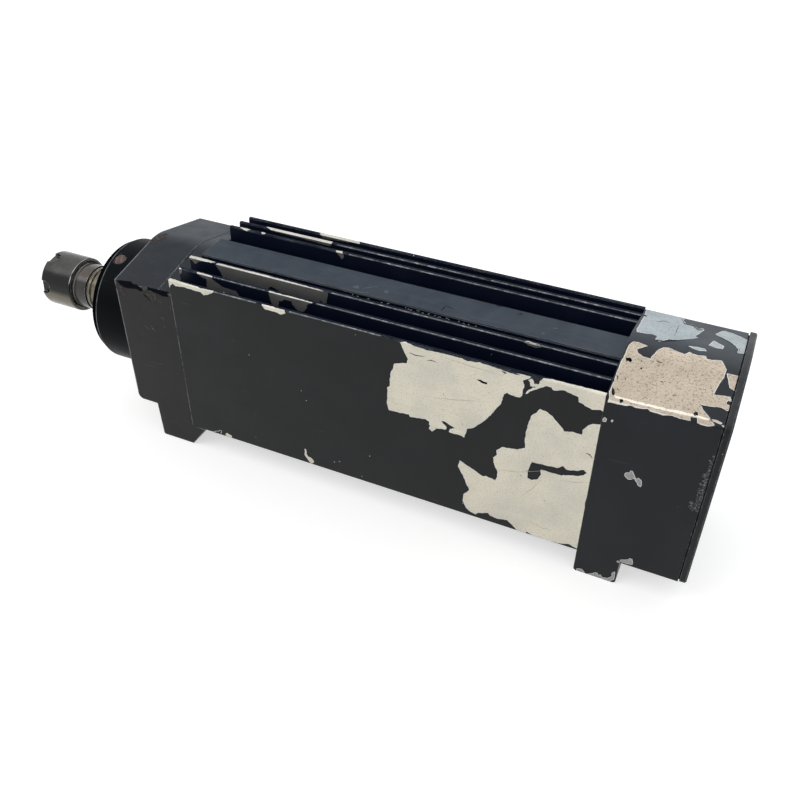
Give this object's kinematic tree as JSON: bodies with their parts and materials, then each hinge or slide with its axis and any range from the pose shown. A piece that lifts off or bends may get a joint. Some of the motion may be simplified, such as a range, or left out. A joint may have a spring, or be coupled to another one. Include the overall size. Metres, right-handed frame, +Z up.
{
  "type": "motor spindle",
  "caption": "Base-mounted high-speed motor spindle: finned rectangular housing, cast front end on a foot, round bearing cartridge, collet nut nose and rear block with cover plate.",
  "frame": {"origin": "on the mounting surface under the middle of the whole length, below the shaft axis", "axes": "+X along the shaft from the nose to the rear plate, +Z up, +Y to the side away from the picture's view"},
  "size_m": [0.364, 0.0736, 0.108],
  "materials": {
    "housing_paint": "black paint, chipped to bare aluminium",
    "casting_paint": "black paint on cast iron, rusty chips",
    "block_paint": "blue-black paint, large chips to bare aluminium",
    "plate_paint": "black paint on sheet",
    "cartridge_paint": "glossy black paint",
    "gasket_rubber": "matte",
    "plug_steel": "rusty",
    "nut_steel": "dark burnished steel",
    "collet_steel": "ground steel",
    "shaft_steel": "turned steel, tarnished",
    "bearing_steel": "ground",
    "ball_steel": "polished",
    "cage_plastic": "natural polyamide",
    "screw_steel": "black oxide",
    "terminal_brass": "bright",
    "terminal_plastic": "off-white",
    "lead_rubber": "silicone sleeve",
    "lamination_steel": "stacked laminations",
    "winding_copper": "varnished copper wire",
    "rotor_aluminium": "die cast"
  },
  "bodies": {
    "housing": {"finned_housing": "housing_paint", "front_casting": "casting_paint", "casting_screws": "screw_steel", "bearing_cartridge": "cartridge_paint", "cartridge_screws": "screw_steel", "radial_plug": "plug_steel", "rear_block": "block_paint", "block_screws": "screw_steel", "earth_screw": "terminal_brass", "rear_gasket": "gasket_rubber", "rear_plate": "plate_paint", "plate_screws": "screw_steel", "terminal_block": "terminal_plastic", "terminal_screws": "terminal_brass", "fixing_screws": "screw_steel", "winding_leads": "lead_rubber", "stator_core": "lamination_steel", "stator_winding": "winding_copper", "front_bearing_outer_ring": "bearing_steel", "second_bearing_outer_ring": "bearing_steel", "rear_bearing_outer_ring": "bearing_steel", "outer_spacer": "bearing_steel", "preload_spring": "bearing_steel"},
    "rotor": {"shaft": "shaft_steel", "labyrinth_nut": "shaft_steel", "rear_lock_nut": "screw_steel", "rotor_core": "lamination_steel", "rotor_cage": "rotor_aluminium", "inner_spacer": "bearing_steel", "front_bearing_inner_ring": "bearing_steel", "second_bearing_inner_ring": "bearing_steel", "rear_bearing_inner_ring": "bearing_steel"},
    "front_bearing_cage": {"front_bearing_cage": "cage_plastic", "front_bearing_balls": "ball_steel"},
    "second_bearing_cage": {"second_bearing_cage": "cage_plastic", "second_bearing_balls": "ball_steel"},
    "rear_bearing_cage": {"rear_bearing_cage": "cage_plastic", "rear_bearing_balls": "ball_steel"},
    "collet": {"collet": "collet_steel"},
    "collet_nut": {"collet_nut": "nut_steel"}
  },
  "joints": [
    {"name": "spindle_turn", "type": "hinge", "parent": "housing", "child": "rotor", "pos_m": [0, 0, 0.057], "axis": [1, 0, 0], "continuous": true},
    {"name": "front_cage_turn", "type": "hinge", "parent": "housing", "child": "front_bearing_cage", "pos_m": [0, 0, 0.057], "axis": [1, 0, 0], "continuous": true},
    {"name": "second_cage_turn", "type": "hinge", "parent": "housing", "child": "second_bearing_cage", "pos_m": [0, 0, 0.057], "axis": [1, 0, 0], "continuous": true},
    {"name": "rear_cage_turn", "type": "hinge", "parent": "housing", "child": "rear_bearing_cage", "pos_m": [0, 0, 0.057], "axis": [1, 0, 0], "continuous": true},
    {"name": "collet_slide", "type": "slide", "parent": "rotor", "child": "collet", "axis": [-1, 0, 0], "range_m": [0, 0.01]},
    {"name": "nut_turn", "type": "hinge", "parent": "collet", "child": "collet_nut", "pos_m": [0, 0, 0.057], "axis": [-1, 0, 0], "range_deg": [0, 3600]}
  ],
  "couplings": [
    {"joint": "front_cage_turn", "follows": "spindle_turn", "ratio": 0.4028},
    {"joint": "second_cage_turn", "follows": "spindle_turn", "ratio": 0.4028},
    {"joint": "rear_cage_turn", "follows": "spindle_turn", "ratio": 0.4077},
    {"joint": "collet_slide", "follows": "nut_turn", "m_per_rad": 0.00015915}
  ]
}
